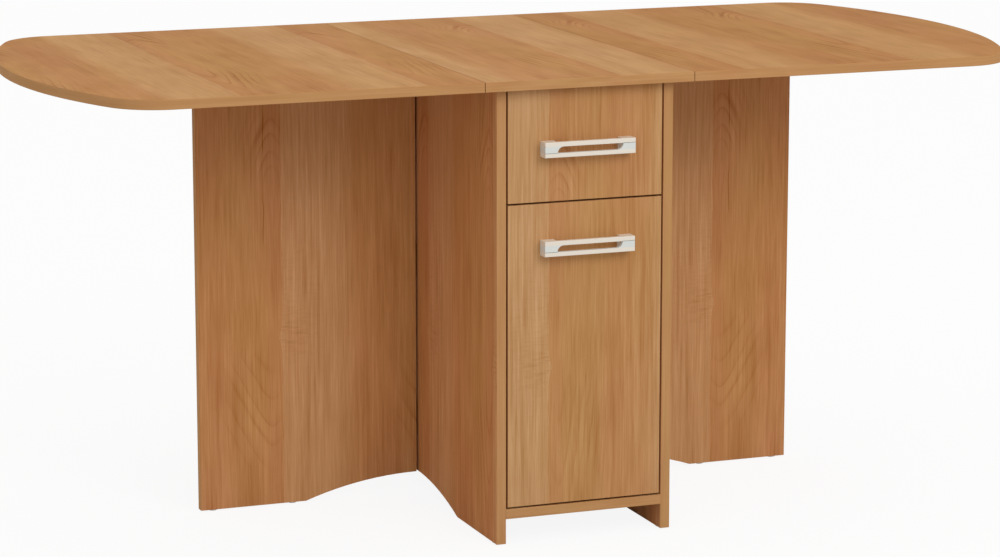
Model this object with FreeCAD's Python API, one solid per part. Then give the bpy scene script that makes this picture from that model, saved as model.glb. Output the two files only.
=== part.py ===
"""Kitchen table with a storage cabinet: a narrow cabinet with a drawer and a door under a fixed middle
top, two leaves hinged to that top, and two gates hinged to the cabinet sides that carry the leaves.

Millimetres. X runs along the table, Y from its front to its back, Z up. The origin is on the floor,
under the middle of the table. The model shows the table set up for use, with both gates out.
"""
import FreeCAD, Part
import math
import os

from FreeCAD import Vector

os.makedirs("parts", exist_ok=True)

# ---------------------------------------------------------------- driving dimensions
BOARD = 16.0                    # every board is the same laminated chipboard
TABLE_HEIGHT = 750.0
TABLE_DEPTH = 800.0
HALF_LENGTH = 834.0             # middle of the table to the tip of a leaf
HALF_MIDDLE = 177.0             # middle of the table to the middle of a seam
SEAM_GAP = 1.2
CORNER_RADIUS = 96.0
CABINET_WIDTH = 300.0
TOP_OVERHANG = 22.0             # front and back
GLIDE_HEIGHT = 2.0
EDGE_ROUND = 0.8

ARCH_HALF_SPAN = 196.0          # half of the arch cut in the foot of a side panel
ARCH_RISE = 33.0

BOTTOM_PANEL_Z = 42.5           # underside of the cabinet's bottom
FRONT_GAP = 3.0                 # round the door and the drawer front
DOOR_TOP = 549.5
SHELF_Z = 300.0                 # underside of the loose shelf

GATE_LENGTH = 378.0
GATE_GAP = 4.0                  # between the gate's edge and the cabinet side
GATE_TOP = 726.0                # low enough to pass under the leaf hinges

HANDLE_LENGTH = 153.5
HANDLE_HEIGHT = 24.4
HANDLE_REACH = 21.5
HANDLE_PLATE = 7.0
HANDLE_LEG = 22.0
HANDLE_SCREWS = 128.0
SLOT_LENGTH = 111.3
SLOT_HEIGHT = 10.4
DRAWER_HANDLE_Z = 637.5
DOOR_HANDLE_Z = 480.0

KNUCKLE_RADIUS = 3.0            # butt hinges of the leaves and the gates
AXIS_OFFSET = 3.4               # hinge axis to the two faces that its plates lie on
PIN_RADIUS = 1.25
RUNNING_PLAY = 0.05             # radial, between a pin or an axle and what turns on it
HINGE_LENGTH = 60.0
PLATE_WIDTH = 24.0
PLATE_THICK = 1.5
KNUCKLES = 5
KNUCKLE_GAP = 0.3
GATE_HINGE_Z = (130.0, 400.0, 640.0)
LEAF_HINGE_Y = (-320.0, 0.0, 320.0)

DRAWER_LENGTH = 500.0
DRAWER_SIDE_Z = 568.0
DRAWER_SIDE_HEIGHT = 120.0
DRAWER_BOTTOM_RISE = 8.0        # from the foot of a drawer side to the drawer's bottom
GROOVE = 5.0
HARDBOARD = 3.0
RUNNER_SPACE = 12.5             # each side, between the drawer and the cabinet
SHEET = 1.2                     # runner steel
ROLLER_RADIUS = 10.0

# ---------------------------------------------------------------- places worked out from them
TOP_UNDERSIDE = TABLE_HEIGHT - BOARD
HALF_DEPTH = TABLE_DEPTH / 2
CABINET_FRONT = -(HALF_DEPTH - TOP_OVERHANG)
CABINET_BACK = -CABINET_FRONT
SIDE_OUT = CABINET_WIDTH / 2
SIDE_IN = SIDE_OUT - BOARD
BOTTOM_TOP = BOTTOM_PANEL_Z + BOARD
FRONT_HALF = SIDE_IN - FRONT_GAP
FRONT_BACK_FACE = CABINET_FRONT + BOARD
MIDDLE_PANEL_Z = DOOR_TOP + FRONT_GAP / 2 - BOARD / 2
MIDDLE_PANEL_FRONT = FRONT_BACK_FACE + 2.0
GATE_IN = SIDE_OUT + GATE_GAP
GATE_OUT = GATE_IN + GATE_LENGTH
GATE_HALF = BOARD / 2
GATE_AXIS_X = SIDE_OUT + AXIS_OFFSET
GATE_AXIS_Y = GATE_HALF + AXIS_OFFSET
LEAF_AXIS_Z = TOP_UNDERSIDE - AXIS_OFFSET
DRAWER_OUT = SIDE_IN - RUNNER_SPACE
DRAWER_IN = DRAWER_OUT - BOARD
DRAWER_BACK = FRONT_BACK_FACE + DRAWER_LENGTH
DRAWER_BOTTOM_Z = DRAWER_SIDE_Z + DRAWER_BOTTOM_RISE

X_AXIS = Vector(1, 0, 0)
Y_AXIS = Vector(0, 1, 0)
Z_AXIS = Vector(0, 0, 1)


# ---------------------------------------------------------------- solids and nodes
def block(x0, x1, y0, y1, z0, z1):
    low = Vector(min(x0, x1), min(y0, y1), min(z0, z1))
    return Part.makeBox(abs(x1 - x0), abs(y1 - y0), abs(z1 - z0), low)


def rod(point, direction, radius, length):
    return Part.makeCylinder(radius, length, point, direction)


def rounded(shape, radius, keep):
    """The shape with the edges that keep(edge) picks rounded over."""
    return shape.makeFillet(radius, [edge for edge in shape.Edges if keep(edge)])


def outline(lines_and_arcs):
    """A closed face. Each entry is a pair (start, end), or a triple (start, middle, end) for an arc."""
    edges = []
    for points in lines_and_arcs:
        curve = Part.LineSegment(*points) if len(points) == 2 else Part.Arc(*points)
        edges.append(curve.toShape())
    return Part.Face(Part.Wire(edges))


def cut_all(board, tools):
    """The board with the holes that its fasteners sit in."""
    near = [tool for tool in tools if board.BoundBox.intersect(tool.BoundBox)]
    return board.cut(Part.makeCompound(near)) if near else board


def mirrored(shape):
    """The same piece for the other end of the table."""
    return shape.mirror(Vector(0, 0, 0), X_AXIS)


def both(shapes):
    """The pieces of the left end and their mirror images."""
    return list(shapes) + [mirrored(shape) for shape in shapes]


def save(name, *shapes):
    """One node: a single solid, or a group of like solids."""
    shape = shapes[0] if len(shapes) == 1 else Part.makeCompound(list(shapes))
    shape.exportStep("parts/" + name + ".step")
    solids, volume = len(shape.Solids), shape.Volume / 1000
    print(f"{name:28s} solids {solids:3d}  volume {volume:10.2f} cm3  valid {shape.isValid()}")


# ---------------------------------------------------------------- fasteners
SCREW_LENGTH = 13.0
SCREW_HEAD_RADIUS = 3.4
SCREW_HEAD_DEPTH = 1.7
SCREW_RADIUS = 1.7
STOP_SCREW_LENGTH = 19.0        # through a gate stop into its leaf
CUP_SCREW_LENGTH = 12.0
CORNER_SCREW_LENGTH = 48.0      # through a drawer side into the drawer back
RECESS = (3.8, 0.9, 1.1)        # length, width and depth of each bar of the cross in a screw head

HANDLE_SCREW_RADIUS = 2.0
HANDLE_SCREW_GRIP = 9.0         # in the leg of a handle
HANDLE_SCREW_HEAD_RADIUS = 4.2
HANDLE_SCREW_HEAD_HEIGHT = 2.6

CAM_RADIUS = 7.5
CAM_DEPTH = 12.5
CAM_DISTANCE = 34.0             # panel end to the middle of a cam
CAM_SLOT = (8.0, 1.6, 1.2)      # length, width and depth of its screwdriver slot
BOLT_RADIUS = 3.0
BOLT_THREAD_RADIUS = 2.5
BOLT_THREAD = 10.0
BOLT_IN_CAM = 4.5

DOWEL_RADIUS = 4.0
DOWEL_IN_END = 22.0             # the part of a dowel in the end of a board
DOWEL_IN_FACE = 11.0            # and the part in the face that the end meets


def wood_screw(point, direction, length=SCREW_LENGTH):
    """A countersunk screw, from the middle of its flush head in the direction that it goes in."""
    head = Part.makeCone(SCREW_HEAD_RADIUS, SCREW_RADIUS, SCREW_HEAD_DEPTH, point, direction)
    shank = rod(point, direction, SCREW_RADIUS, length)
    return head.fuse(shank).removeSplitter()


def handle_screw(x, z):
    """A machine screw through a front panel from behind into the leg of a handle."""
    tip = Vector(x, CABINET_FRONT - HANDLE_SCREW_GRIP, z)
    shank = rod(tip, Y_AXIS, HANDLE_SCREW_RADIUS, HANDLE_SCREW_GRIP + BOARD)
    seat = Vector(x, FRONT_BACK_FACE, z)
    head = rod(seat, Y_AXIS, HANDLE_SCREW_HEAD_RADIUS, HANDLE_SCREW_HEAD_HEIGHT)
    return shank.fuse(head).removeSplitter()


def recessed(screws):
    """The screws with a cross in each head. Their plain shapes still cut the seats that they sit in."""
    length, width, depth = RECESS
    bar = block(-length / 2, length / 2, -width / 2, width / 2, 0, depth)
    cross = bar.fuse(block(-width / 2, width / 2, -length / 2, length / 2, 0, depth)).removeSplitter()
    done = []
    for screw in screws:
        flats = [face for face in screw.Faces if isinstance(face.Surface, Part.Plane)]
        crown = max(flats, key=lambda face: face.Area).CenterOfMass
        inward = screw.CenterOfGravity - crown
        driver = cross.copy()
        driver.Placement = FreeCAD.Placement(crown, FreeCAD.Rotation(Z_AXIS, inward))
        done.append(screw.cut(driver))
    return done


def cam_pocket(point, direction):
    """The round pocket of a cam. The point is on the board's face, the direction goes into the board."""
    return rod(point, direction, CAM_RADIUS, CAM_DEPTH)


def cam_lock(point, direction, bolts):
    """The cam in that pocket: a slot for the screwdriver, and a bore where its bolt comes in."""
    length, width, depth = CAM_SLOT
    slot = block(-length / 2, length / 2, -width / 2, width / 2, 0, depth)
    slot.Placement = FreeCAD.Placement(point, FreeCAD.Rotation(Z_AXIS, direction))
    return cut_all(cam_pocket(point, direction).cut(slot), bolts)


def cam_bolt(face_point, direction):
    """The bolt of a cam: screwed into the panel behind face_point, and reaching into the cam."""
    thread = rod(face_point, direction * -1, BOLT_THREAD_RADIUS, BOLT_THREAD)
    neck = rod(face_point, direction, BOLT_RADIUS, CAM_DISTANCE - CAM_RADIUS + BOLT_IN_CAM)
    return thread.fuse(neck).removeSplitter()


def dowel(face_point, direction):
    """A beech dowel from the face of one board into the end of another, along the direction."""
    start = face_point - direction * DOWEL_IN_FACE
    return rod(start, direction, DOWEL_RADIUS, DOWEL_IN_FACE + DOWEL_IN_END)


# ---------------------------------------------------------------- butt hinges
PLATE_CORNER = 3.0
PIN_HEAD_RADIUS = 2.2
PIN_HEAD_HEIGHT = 0.7
PIN_HEAD_GAP = 0.1              # between the end of the barrel and a pin head
PLATE_SCREWS = (0.2, 0.8)       # places of the two screws along a plate


def knuckle_spans(fixed):
    """Start and end of each knuckle along the barrel, for the fixed or the moving half."""
    pitch = HINGE_LENGTH / KNUCKLES
    wanted = range(0, KNUCKLES, 2) if fixed else range(1, KNUCKLES, 2)
    return [(i * pitch + KNUCKLE_GAP / 2, (i + 1) * pitch - KNUCKLE_GAP / 2) for i in wanted]


def hinge_half(fixed):
    """Half of a butt hinge on its own axes: the barrel on Z from 0, the plate along +X, its back at -Y."""
    low, high = -AXIS_OFFSET, -AXIS_OFFSET + PLATE_THICK
    half = block(AXIS_OFFSET, PLATE_WIDTH, low, high, 0, HINGE_LENGTH)
    half = rounded(half, PLATE_CORNER, lambda e: e.CenterOfMass.x > PLATE_WIDTH - 0.1 and e.Length < 2)
    for z0, z1 in knuckle_spans(fixed):
        half = half.fuse(block(0, AXIS_OFFSET, low, high, z0, z1))
        half = half.fuse(rod(Vector(0, 0, z0), Z_AXIS, KNUCKLE_RADIUS, z1 - z0))
    bore = PIN_RADIUS if fixed else PIN_RADIUS + RUNNING_PLAY
    half = half.cut(rod(Vector(0, 0, -1), Z_AXIS, bore, HINGE_LENGTH + 2))
    return half.removeSplitter()


def hinge_screws():
    """The two screws of a hinge half, on the same axes."""
    middle = (AXIS_OFFSET + PLATE_WIDTH) / 2 + 1.0
    level = -AXIS_OFFSET + PLATE_THICK
    return [wood_screw(Vector(middle, level, place * HINGE_LENGTH), Y_AXIS * -1) for place in PLATE_SCREWS]


def hinge_pin():
    """The pin, with a low head at each end of the barrel."""
    foot = -(PIN_HEAD_GAP + PIN_HEAD_HEIGHT)
    pin = rod(Vector(0, 0, foot), Z_AXIS, PIN_RADIUS, HINGE_LENGTH - 2 * foot)
    for z in (foot, HINGE_LENGTH + PIN_HEAD_GAP):
        pin = pin.fuse(rod(Vector(0, 0, z), Z_AXIS, PIN_HEAD_RADIUS, PIN_HEAD_HEIGHT))
    return pin.removeSplitter()


def placed(shape, origin, x_dir, y_dir):
    """A copy moved from its own axes to an origin, with its X and Y along the given directions."""
    z_dir = x_dir.cross(y_dir)
    matrix = FreeCAD.Matrix(
        x_dir.x, y_dir.x, z_dir.x, origin.x,
        x_dir.y, y_dir.y, z_dir.y, origin.y,
        x_dir.z, y_dir.z, z_dir.z, origin.z,
        0, 0, 0, 1,
    )
    copy = shape.copy()
    copy.Placement = FreeCAD.Placement(matrix)
    return copy


def hinge_set(places, fixed_dirs, moving_dirs):
    """Plates, screws and pins for a row of hinges. Each place is where the middle of a barrel goes."""
    found = {"fixed": [], "moving": [], "fixed_screws": [], "moving_screws": [], "pins": []}
    for centre in places:
        for half, dirs in (("fixed", fixed_dirs), ("moving", moving_dirs)):
            x_dir, y_dir = dirs
            z_dir = x_dir.cross(y_dir)
            start = centre - z_dir * (HINGE_LENGTH / 2)
            screws = [placed(screw, start, x_dir, y_dir) for screw in hinge_screws()]
            plate = placed(hinge_half(half == "fixed"), start, x_dir, y_dir)
            found[half].append(plate.cut(Part.makeCompound(screws)))
            found[half + "_screws"] += screws
            if half == "fixed":
                found["pins"].append(placed(hinge_pin(), start, x_dir, y_dir))
    return found


def leaf_hinges():
    """Under the left seam: the fixed plates on the middle top, the moving ones on the leaf."""
    places = [Vector(-HALF_MIDDLE, y, LEAF_AXIS_Z) for y in LEAF_HINGE_Y]
    return hinge_set(places, (X_AXIS, Z_AXIS * -1), (X_AXIS * -1, Z_AXIS * -1))


def gate_hinges():
    """Behind the left gate: the fixed plates on the cabinet side, the moving ones on the gate."""
    places = [Vector(-GATE_AXIS_X, GATE_AXIS_Y, z) for z in GATE_HINGE_Z]
    return hinge_set(places, (Y_AXIS, X_AXIS * -1), (X_AXIS * -1, Y_AXIS))


# ---------------------------------------------------------------- tops
def middle_top():
    half = HALF_MIDDLE - SEAM_GAP / 2
    board = block(-half, half, -HALF_DEPTH, HALF_DEPTH, TOP_UNDERSIDE, TABLE_HEIGHT)
    return rounded(board, EDGE_ROUND, lambda e: e.BoundBox.XLength > BOARD)


def leaf():
    """The left leaf. Its end is an arc about the middle of the table, met by a round corner at each side."""
    seam = -(HALF_MIDDLE + SEAM_GAP / 2)
    centre_y = HALF_DEPTH - CORNER_RADIUS
    centre_x = math.sqrt((HALF_LENGTH - CORNER_RADIUS) ** 2 - centre_y ** 2)
    turn = math.atan2(centre_y, centre_x)
    half_turn = (math.pi / 2 + turn) / 2
    z = TOP_UNDERSIDE

    def corner_point(angle, side):
        x = centre_x + CORNER_RADIUS * math.cos(angle)
        y = centre_y + CORNER_RADIUS * math.sin(angle)
        return Vector(-x, side * y, z)

    front_flat = Vector(-centre_x, -HALF_DEPTH, z)
    back_flat = Vector(-centre_x, HALF_DEPTH, z)
    front_in = Vector(seam, -HALF_DEPTH, z)
    back_in = Vector(seam, HALF_DEPTH, z)
    front_tip = corner_point(turn, -1)
    back_tip = corner_point(turn, 1)
    face = outline([
        (front_in, front_flat),
        (front_flat, corner_point(half_turn, -1), front_tip),
        (front_tip, Vector(-HALF_LENGTH, 0, z), back_tip),
        (back_tip, corner_point(half_turn, 1), back_flat),
        (back_flat, back_in),
        (back_in, front_in),
    ])
    board = face.extrude(Z_AXIS * BOARD)
    return rounded(board, EDGE_ROUND, lambda e: e.BoundBox.ZLength < 0.01 and e.CenterOfMass.x < seam - 1)


STOP_OUT = GATE_OUT - 4.0       # outer and inner end of a gate stop
STOP_IN = GATE_OUT - 46.0
STOP_REACH = 8.0                # in front of the gate
STOP_DROP = 12.0                # below the top of the gate
STOP_PAD_GAP = 0.4
STOP_LIP_GAP = 0.5
STOP_ROUND = 2.0
STOP_SCREW_INSET = 9.0


def gate_stop():
    """A moulded block under the left leaf. Its pad lies on the open gate and its lip stops the gate."""
    front = -GATE_HALF - STOP_REACH
    pad = block(-STOP_OUT, -STOP_IN, front, GATE_HALF, GATE_TOP + STOP_PAD_GAP, TOP_UNDERSIDE)
    lip_back = -GATE_HALF - STOP_LIP_GAP
    lip = block(-STOP_OUT, -STOP_IN, front, lip_back, GATE_TOP - STOP_DROP, TOP_UNDERSIDE)
    stop = pad.fuse(lip).removeSplitter()
    return rounded(stop, STOP_ROUND, lambda e: e.BoundBox.ZLength > 5 and e.BoundBox.XLength < 0.1)


def gate_stop_screws():
    places = (STOP_OUT - STOP_SCREW_INSET, STOP_IN + STOP_SCREW_INSET)
    level = GATE_TOP + STOP_PAD_GAP
    return [wood_screw(Vector(-x, 0, level), Z_AXIS, STOP_SCREW_LENGTH) for x in places]


# ---------------------------------------------------------------- cabinet
def side_panel():
    """The left side of the cabinet, with an arch cut in its foot."""
    x = -SIDE_OUT
    z = GLIDE_HEIGHT

    def at(y, height):
        return Vector(x, y, height)

    face = outline([
        (at(CABINET_FRONT, z), at(-ARCH_HALF_SPAN, z)),
        (at(-ARCH_HALF_SPAN, z), at(0, z + ARCH_RISE), at(ARCH_HALF_SPAN, z)),
        (at(ARCH_HALF_SPAN, z), at(CABINET_BACK, z)),
        (at(CABINET_BACK, z), at(CABINET_BACK, TOP_UNDERSIDE)),
        (at(CABINET_BACK, TOP_UNDERSIDE), at(CABINET_FRONT, TOP_UNDERSIDE)),
        (at(CABINET_FRONT, TOP_UNDERSIDE), at(CABINET_FRONT, z)),
    ])
    board = face.extrude(X_AXIS * BOARD)
    return rounded(board, EDGE_ROUND, lambda e: e.BoundBox.ZLength > TABLE_HEIGHT / 2)


def bottom_panel():
    board = block(-SIDE_IN, SIDE_IN, CABINET_FRONT, CABINET_BACK, BOTTOM_PANEL_Z, BOTTOM_TOP)
    return rounded(board, EDGE_ROUND, lambda e: e.BoundBox.XLength > BOARD)


def back_panel():
    return block(-SIDE_IN, SIDE_IN, CABINET_BACK - BOARD, CABINET_BACK, BOTTOM_TOP, TOP_UNDERSIDE)


def middle_panel():
    back = CABINET_BACK - BOARD
    return block(-SIDE_IN, SIDE_IN, MIDDLE_PANEL_FRONT, back, MIDDLE_PANEL_Z, MIDDLE_PANEL_Z + BOARD)


SHELF_FRONT = FRONT_BACK_FACE + 12.0
SHELF_SIDE_GAP = 0.8
SHELF_BACK_GAP = 1.0
SHELF_PIN_Y = (-300.0, 300.0)
SHELF_PIN_RADIUS = 2.5
SHELF_PIN_IN_SIDE = 9.0
SHELF_PIN_LENGTH = 17.0


def loose_shelf():
    half = SIDE_IN - SHELF_SIDE_GAP
    back = CABINET_BACK - BOARD - SHELF_BACK_GAP
    board = block(-half, half, SHELF_FRONT, back, SHELF_Z, SHELF_Z + BOARD)
    return rounded(board, EDGE_ROUND, lambda e: e.BoundBox.XLength > BOARD and e.CenterOfMass.y < 0)


def shelf_pins():
    """Left and right pins that the loose shelf lies on."""
    pins = []
    for side in (-1, 1):
        for y in SHELF_PIN_Y:
            start = Vector(side * (SIDE_IN + SHELF_PIN_IN_SIDE), y, SHELF_Z - SHELF_PIN_RADIUS)
            pins.append(rod(start, X_AXIS * -side, SHELF_PIN_RADIUS, SHELF_PIN_LENGTH))
    return pins


FLAT_CAM_Y = 290.0              # cams and dowels of the flat panels, each side of the middle
FLAT_DOWEL_Y = 230.0
BACK_CAM_Z = (180.0, 480.0)     # cams of the back panel, each with a dowel above it
BACK_DOWEL_RISE = 80.0
TOP_DOWEL_Y = 150.0             # dowels between the side panels and the middle top
TOP_DOWEL_IN_TOP = 10.0


def panel_joints():
    """Cam places, bolts and dowels that hold the bottom, middle and back panels between the sides."""
    cams, bolts, dowels = [], [], []
    for side in (-1, 1):
        inward = X_AXIS * -side
        wall = side * SIDE_IN
        cam_x = side * (SIDE_IN - CAM_DISTANCE)
        for z in (BOTTOM_PANEL_Z, MIDDLE_PANEL_Z):
            middle_z = z + BOARD / 2
            for end in (-1, 1):
                cams.append((Vector(cam_x, end * FLAT_CAM_Y, z), Z_AXIS))
                bolts.append(cam_bolt(Vector(wall, end * FLAT_CAM_Y, middle_z), inward))
                dowels.append(dowel(Vector(wall, end * FLAT_DOWEL_Y, middle_z), inward))
        middle_y = CABINET_BACK - BOARD / 2
        for z in BACK_CAM_Z:
            cams.append((Vector(cam_x, CABINET_BACK - BOARD, z), Y_AXIS))
            bolts.append(cam_bolt(Vector(wall, middle_y, z), inward))
            dowels.append(dowel(Vector(wall, middle_y, z + BACK_DOWEL_RISE), inward))
        for end in (-1, 1):
            crown = Vector(side * (SIDE_OUT - BOARD / 2), end * TOP_DOWEL_Y, TOP_UNDERSIDE + TOP_DOWEL_IN_TOP)
            dowels.append(rod(crown, Z_AXIS * -1, DOWEL_RADIUS, TOP_DOWEL_IN_TOP + DOWEL_IN_END))
    return cams, bolts, dowels


BRACKET_LEG = 28.0
BRACKET_WIDTH = 18.0
BRACKET_SHEET = 2.0
BRACKET_SCREW = 17.4            # from the corner to each screw
BRACKET_Y = (-335.0, 0.0, 335.0)


def top_brackets():
    """Steel angles that hold the middle top on the side panels, and their screws."""
    brackets, screws = [], []
    for side in (-1, 1):
        for y in BRACKET_Y:
            y0, y1 = y - BRACKET_WIDTH / 2, y + BRACKET_WIDTH / 2
            wall = side * SIDE_IN
            skin = wall - side * BRACKET_SHEET
            ceiling = TOP_UNDERSIDE - BRACKET_SHEET
            upright = block(wall, skin, y0, y1, TOP_UNDERSIDE - BRACKET_LEG, TOP_UNDERSIDE)
            flat = block(wall, wall - side * BRACKET_LEG, y0, y1, ceiling, TOP_UNDERSIDE)
            pair = [
                wood_screw(Vector(skin, y, TOP_UNDERSIDE - BRACKET_SCREW), X_AXIS * side),
                wood_screw(Vector(wall - side * BRACKET_SCREW, y, ceiling), Z_AXIS),
            ]
            angle = upright.fuse(flat).removeSplitter()
            brackets.append(angle.cut(Part.makeCompound(pair)))
            screws += pair
    return brackets, screws


GLIDE_RADIUS = 7.0
GLIDE_FOOT_RADIUS = 6.4
GLIDE_INSET = 22.0              # from the end of a board's foot
NAIL_RADIUS = 1.2
NAIL_LENGTH = 12.0


def glide(x, y):
    """A nail-in plastic glide under a board's foot."""
    foot = Part.makeCone(GLIDE_FOOT_RADIUS, GLIDE_RADIUS, GLIDE_HEIGHT, Vector(x, y, 0), Z_AXIS)
    nail = rod(Vector(x, y, GLIDE_HEIGHT), Z_AXIS, NAIL_RADIUS, NAIL_LENGTH)
    return foot.fuse(nail).removeSplitter()


def cabinet_glides():
    x, y = SIDE_OUT - BOARD / 2, CABINET_BACK - GLIDE_INSET
    return [glide(side * x, end * y) for side in (-1, 1) for end in (-1, 1)]


# ---------------------------------------------------------------- gates
def gate():
    """The left gate. Its foot matches half of a side panel's foot, so that they line up when it is folded."""
    y = -GATE_HALF
    z = GLIDE_HEIGHT
    radius = (ARCH_HALF_SPAN ** 2 + ARCH_RISE ** 2) / (2 * ARCH_RISE)
    halfway = ARCH_HALF_SPAN / 2
    halfway_z = z + ARCH_RISE - (radius - math.sqrt(radius ** 2 - halfway ** 2))

    def at(x, height):
        return Vector(-x, y, height)

    foot_in = GATE_IN + ARCH_HALF_SPAN
    face = outline([
        (at(GATE_OUT, z), at(foot_in, z)),
        (at(foot_in, z), at(GATE_IN + halfway, halfway_z), at(GATE_IN, z + ARCH_RISE)),
        (at(GATE_IN, z + ARCH_RISE), at(GATE_IN, GATE_TOP)),
        (at(GATE_IN, GATE_TOP), at(GATE_OUT, GATE_TOP)),
        (at(GATE_OUT, GATE_TOP), at(GATE_OUT, z)),
    ])
    board = face.extrude(Y_AXIS * BOARD)
    outer = -(GATE_IN + GATE_LENGTH / 2)
    return rounded(board, EDGE_ROUND, lambda e: e.BoundBox.ZLength > 600 and e.CenterOfMass.x < outer)


def gate_glides():
    return [glide(-(GATE_OUT - GLIDE_INSET), 0), glide(-(GATE_IN + ARCH_HALF_SPAN + GLIDE_INSET), 0)]


# ---------------------------------------------------------------- handles
HANDLE_ROUND = 0.8
CREASE_WIDTH = 0.9
CREASE_DEPTH = 0.6


def handle(z):
    """A moulded bow handle: a plate on two legs, with a slot that has two square and two round corners."""
    half, tall = HANDLE_LENGTH / 2, HANDLE_HEIGHT / 2
    front = CABINET_FRONT - HANDLE_REACH
    plate_back = front + HANDLE_PLATE
    body = block(-half, half, front, CABINET_FRONT, z - tall, z + tall)
    hollow = half - HANDLE_LEG
    body = body.cut(block(-hollow, hollow, plate_back, CABINET_FRONT + 1, z - tall - 1, z + tall + 1))
    body = rounded(body, HANDLE_ROUND, lambda e: e.CenterOfMass.y < plate_back - 0.1)
    end, top = SLOT_LENGTH / 2, SLOT_HEIGHT / 2
    bend = SLOT_HEIGHT * (1 - math.sqrt(0.5))

    def at(x, height):
        return Vector(x, front - 1, z + height)

    slot = outline([
        (at(-end, -top), at(-end + bend, top - bend), at(-end + SLOT_HEIGHT, top)),
        (at(-end + SLOT_HEIGHT, top), at(end, top)),
        (at(end, top), at(end - bend, -top + bend), at(end - SLOT_HEIGHT, -top)),
        (at(end - SLOT_HEIGHT, -top), at(-end, -top)),
    ])
    body = body.cut(slot.extrude(Y_AXIS * (HANDLE_PLATE + 2)))
    for side, level in ((-1, -top), (1, top)):
        low, high = z + level - CREASE_WIDTH / 2, z + level + CREASE_WIDTH / 2
        groove = block(side * (end - 0.2), side * (half + 1), front - 1, front + CREASE_DEPTH, low, high)
        body = body.cut(groove)
    return body


def handle_screws(z):
    return [handle_screw(side * HANDLE_SCREWS / 2, z) for side in (-1, 1)]


# ---------------------------------------------------------------- door
DOOR_FOOT = BOTTOM_TOP + FRONT_GAP
DOOR_HINGE_Z = (DOOR_FOOT + 90.0, DOOR_TOP - 90.0)
CUP_EDGE = 22.5                 # door edge to the middle of a hinge cup
CUP_X = FRONT_HALF - CUP_EDGE
CUP_RADIUS = 17.5
CUP_DEPTH = 11.5
CUP_WALL = 1.6
FLANGE = 1.2
FLANGE_HALF_WIDTH = 9.0
FLANGE_HALF_HEIGHT = 30.0
FLANGE_CORNER = 4.0
CUP_SCREW_RISE = 24.0
BASE_Y = FRONT_BACK_FACE + 37.0
BASE_FRONT = 20.0               # reach of a mounting plate in front of BASE_Y, and behind it
BASE_REAR = 8.0
BASE_THICK = 3.0
BASE_HALF_HEIGHT = 24.0
BASE_CORNER = 5.0
BASE_SCREW_RISE = 16.0
ARM_WIDTH = 13.0
ARM_HEIGHT = 12.0               # from the mounting plate into the cabinet
ARM_REAR = 14.0
ARM_BEND = 22.0
ARM_NOSE_GAP = 0.7              # to the flange
ARM_NOSE_THICK = 5.0
ARM_NOSE_OUT = 9.0              # reach of the nose from CUP_X, each way
ARM_NOSE_IN = 7.0


def front_board(z0, z1):
    """A board between the side panels, flush with their front edges."""
    board = block(-FRONT_HALF, FRONT_HALF, CABINET_FRONT, FRONT_BACK_FACE, z0, z1)
    return rounded(board, EDGE_ROUND, lambda e: abs(e.CenterOfMass.y - CABINET_FRONT) < 0.01)


def cup_screws(z):
    level = FRONT_BACK_FACE + FLANGE
    heights = (z - CUP_SCREW_RISE, z + CUP_SCREW_RISE)
    return [wood_screw(Vector(CUP_X, level, height), Y_AXIS * -1, CUP_SCREW_LENGTH) for height in heights]


def cup_pocket(z):
    return rod(Vector(CUP_X, FRONT_BACK_FACE, z), Y_AXIS * -1, CUP_RADIUS, CUP_DEPTH)


def hinge_cup(z):
    """The cup of a concealed hinge, pressed into the back of the door, with its flange."""
    level = FRONT_BACK_FACE + FLANGE
    x0, x1 = CUP_X - FLANGE_HALF_WIDTH, CUP_X + FLANGE_HALF_WIDTH
    flange = block(x0, x1, FRONT_BACK_FACE, level, z - FLANGE_HALF_HEIGHT, z + FLANGE_HALF_HEIGHT)
    flange = rounded(flange, FLANGE_CORNER, lambda e: e.BoundBox.YLength > 1)
    rim = rod(Vector(CUP_X, level, z), Y_AXIS * -1, CUP_RADIUS, CUP_DEPTH + FLANGE)
    hollow = rod(Vector(CUP_X, level + 0.1, z), Y_AXIS * -1, CUP_RADIUS - CUP_WALL, CUP_DEPTH)
    return cut_all(flange.fuse(rim).cut(hollow).removeSplitter(), cup_screws(z))


def base_screws(z):
    heights = (z - BASE_SCREW_RISE, z + BASE_SCREW_RISE)
    return [wood_screw(Vector(SIDE_IN - BASE_THICK, BASE_Y, height), X_AXIS) for height in heights]


def hinge_base(z):
    """The mounting plate of a concealed hinge, on the right side panel."""
    y0, y1 = BASE_Y - BASE_FRONT, BASE_Y + BASE_REAR
    base = block(SIDE_IN - BASE_THICK, SIDE_IN, y0, y1, z - BASE_HALF_HEIGHT, z + BASE_HALF_HEIGHT)
    base = rounded(base, BASE_CORNER, lambda e: e.BoundBox.XLength > 2)
    return cut_all(base, base_screws(z))


def hinge_arm(z):
    """The cranked arm, clipped on its mounting plate and ending behind the cup."""
    plate = SIDE_IN - BASE_THICK
    near = FRONT_BACK_FACE + FLANGE + ARM_NOSE_GAP
    rear = BASE_Y + ARM_REAR
    bend = BASE_Y - ARM_BEND
    points = [
        (plate, rear),
        (plate, bend),
        (CUP_X + ARM_NOSE_OUT, near),
        (CUP_X - ARM_NOSE_IN, near),
        (CUP_X - ARM_NOSE_IN, near + ARM_NOSE_THICK),
        (plate - ARM_HEIGHT, bend + ARM_HEIGHT / 2),
        (plate - ARM_HEIGHT, rear),
    ]
    corners = [Vector(x, y, z - ARM_WIDTH / 2) for x, y in points]
    sides = list(zip(corners, corners[1:] + corners[:1]))
    return outline(sides).extrude(Z_AXIS * ARM_WIDTH)


# ---------------------------------------------------------------- drawer
DRAWER_JOINT_RISE = (30.0, 90.0)    # cams and screws, from the foot of a drawer side


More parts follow.
